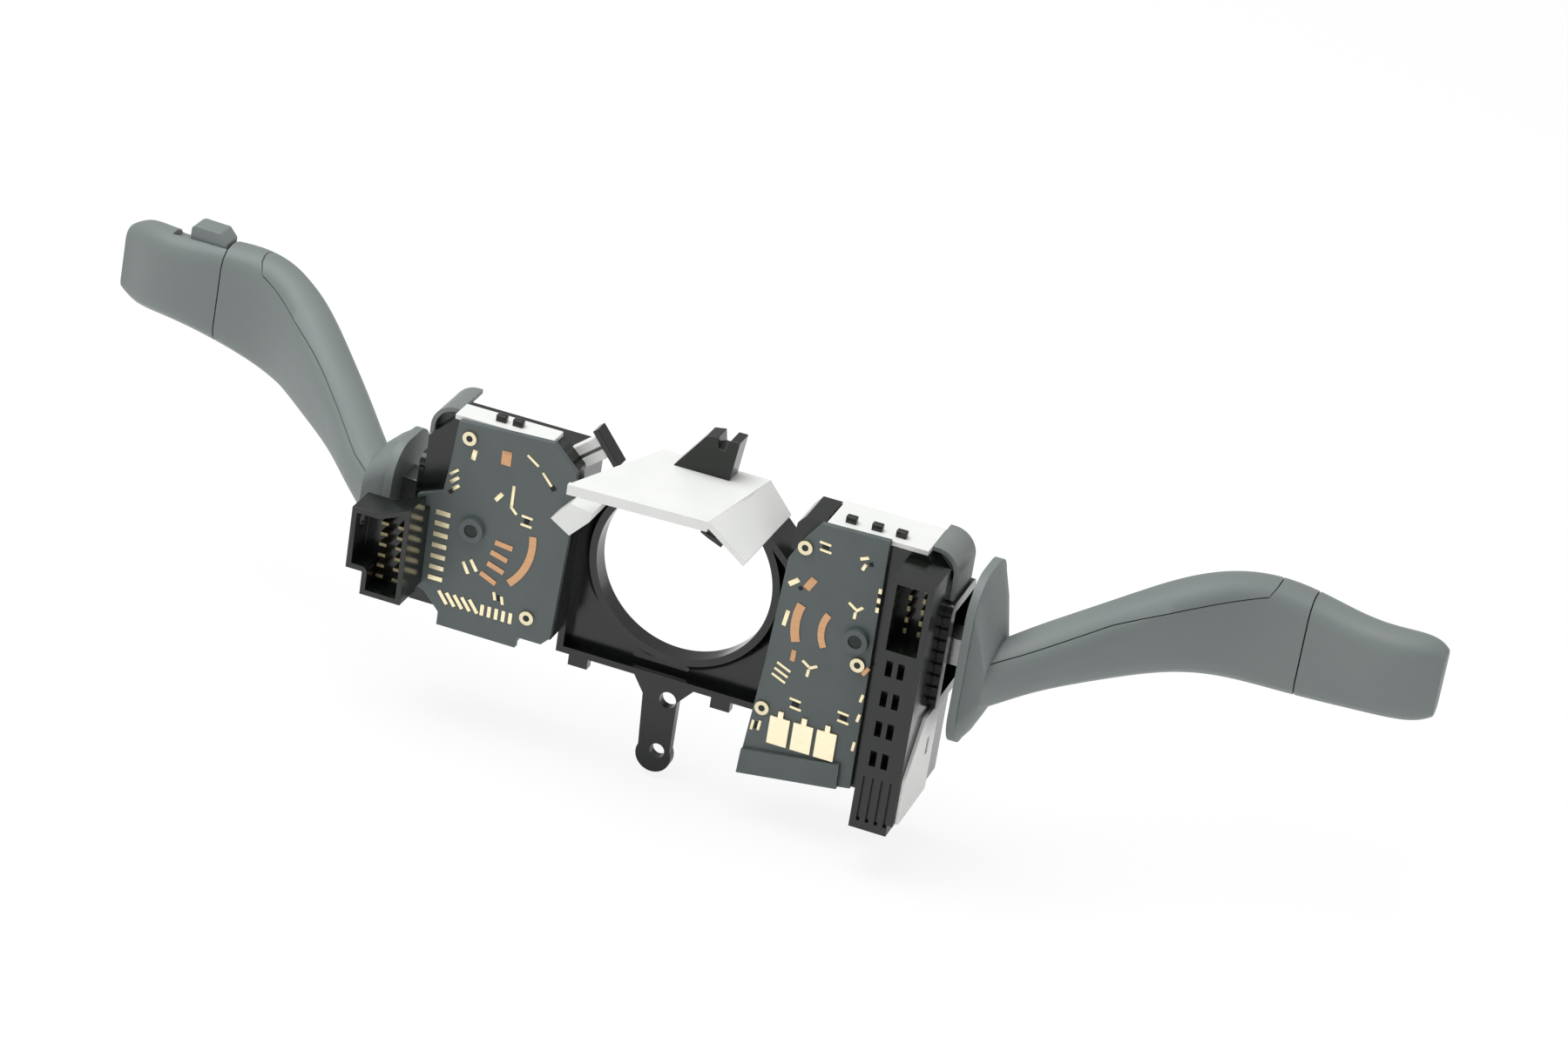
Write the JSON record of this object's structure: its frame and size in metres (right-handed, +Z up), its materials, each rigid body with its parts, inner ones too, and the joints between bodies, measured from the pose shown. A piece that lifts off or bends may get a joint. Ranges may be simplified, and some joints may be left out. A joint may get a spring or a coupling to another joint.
{
  "type": "combination stalk switch",
  "caption": "Steering column switch that fits round the column, with a tilting wiper stalk with thumb slider on one side and a tilting, self-cancelling turn signal stalk on the other.",
  "frame": {"origin": "middle of the column bore at its front face", "axes": "+X across the switch towards the turn signal stalk, +Y along the column towards the driver, +Z up"},
  "size_m": [0.4076, 0.0911, 0.1051],
  "materials": {
    "black_gloss": "glossy moulded black plastic with moulded edges",
    "plate_grey": "dark slate grey moulded insulating plastic",
    "light_grey": "light grey moulded plastic, half gloss",
    "stalk_grey": "fine grained mid grey plastic",
    "white_lever": "white low-friction lever plastic",
    "steel": "bright zinc-plated steel",
    "copper": "stamped copper alloy",
    "pad_brass": "cream-gold tinned brass"
  },
  "bodies": {
    "switch_base": {"column_carrier": "black_gloss", "roof_guard": "light_grey", "guide_block": "light_grey", "latch_hook": "black_gloss", "clip_tower": "black_gloss", "left_contact_plate": "plate_grey", "right_contact_plate": "plate_grey", "left_plate_screws": "steel", "right_plate_screws": "steel", "left_housing": "black_gloss", "right_housing": "black_gloss", "left_top_cover": "light_grey", "right_top_cover": "light_grey", "rear_lug": "light_grey", "lug_end_plate": "black_gloss", "left_lever_collar": "black_gloss", "right_lever_collar": "black_gloss", "left_lever_guard": "light_grey", "right_lever_guard": "light_grey", "left_connector": "black_gloss", "right_connector": "black_gloss", "right_side_cover": "light_grey", "left_terminal_pins": "copper", "right_terminal_pins": "copper", "left_contact_strips": "copper", "left_contact_arc": "copper", "right_contact_arcs": "copper", "right_power_pads": "pad_brass", "pivot_pins": "steel", "pawl_clip": "steel"},
    "left_lever": {"left_rocker": "white_lever", "left_hinge_pin": "steel", "left_plunger_spring": "steel", "left_wiper_contact": "copper"},
    "left_detent": {"left_plunger": "steel"},
    "left_stalk": {"left_stalk_core": "steel", "left_dome": "stalk_grey", "left_upper_shell": "stalk_grey", "left_lower_shell": "stalk_grey", "left_end_cap": "stalk_grey"},
    "right_lever": {"right_rocker": "white_lever", "right_hinge_pin": "steel", "right_plunger_spring": "steel", "right_wiper_contact": "copper"},
    "right_detent": {"right_plunger": "steel"},
    "right_stalk": {"right_stalk_core": "steel", "right_dome": "stalk_grey", "right_upper_shell": "stalk_grey", "right_lower_shell": "stalk_grey", "right_end_cap": "stalk_grey"},
    "slider": {"thumb_slider": "stalk_grey"},
    "pawl": {"cancel_pawl": "white_lever"}
  },
  "joints": [
    {"name": "wiper_select", "type": "hinge", "parent": "switch_base", "child": "left_lever", "pos_m": [-0.0604, 0.006, -0.0012], "axis": [0, 1, 0], "range_deg": [-5, 12]},
    {"name": "wiper_pull", "type": "hinge", "parent": "left_lever", "child": "left_stalk", "pos_m": [-0.06999, 0.006, -0.00086], "axis": [0.0349, 0, 0.9994], "range_deg": [-6, 6], "stiffness_Nm_per_rad": 3},
    {"name": "wiper_detent", "type": "slide", "parent": "left_lever", "child": "left_detent", "axis": [-0.9994, 0, 0.0349], "range_m": [0, 0.0015], "stiffness_N_per_m": 500, "springref_m": -0.003, "deforming": ["left_plunger_spring"]},
    {"name": "interval_slide", "type": "slide", "parent": "left_stalk", "child": "slider", "axis": [-0.9994, 0, 0.0349], "range_m": [0, 0.005]},
    {"name": "turn_select", "type": "hinge", "parent": "switch_base", "child": "right_lever", "pos_m": [0.0539, 0.006, -0.0003], "axis": [0, -1, 0], "range_deg": [-8, 8]},
    {"name": "beam_pull", "type": "hinge", "parent": "right_lever", "child": "right_stalk", "pos_m": [0.07, 0.006, -0.0003], "axis": [0, 0, 1], "range_deg": [-6, 6], "stiffness_Nm_per_rad": 3},
    {"name": "turn_detent", "type": "slide", "parent": "right_lever", "child": "right_detent", "axis": [1, 0, 0], "range_m": [0, 0.0015], "stiffness_N_per_m": 500, "springref_m": -0.003, "deforming": ["right_plunger_spring"]},
    {"name": "cancel_turn", "type": "hinge", "parent": "switch_base", "child": "pawl", "pos_m": [0.041, 0.0203, 0.004], "axis": [0, 1, 0], "range_deg": [-15, 15], "stiffness_Nm_per_rad": 0.02}
  ]
}
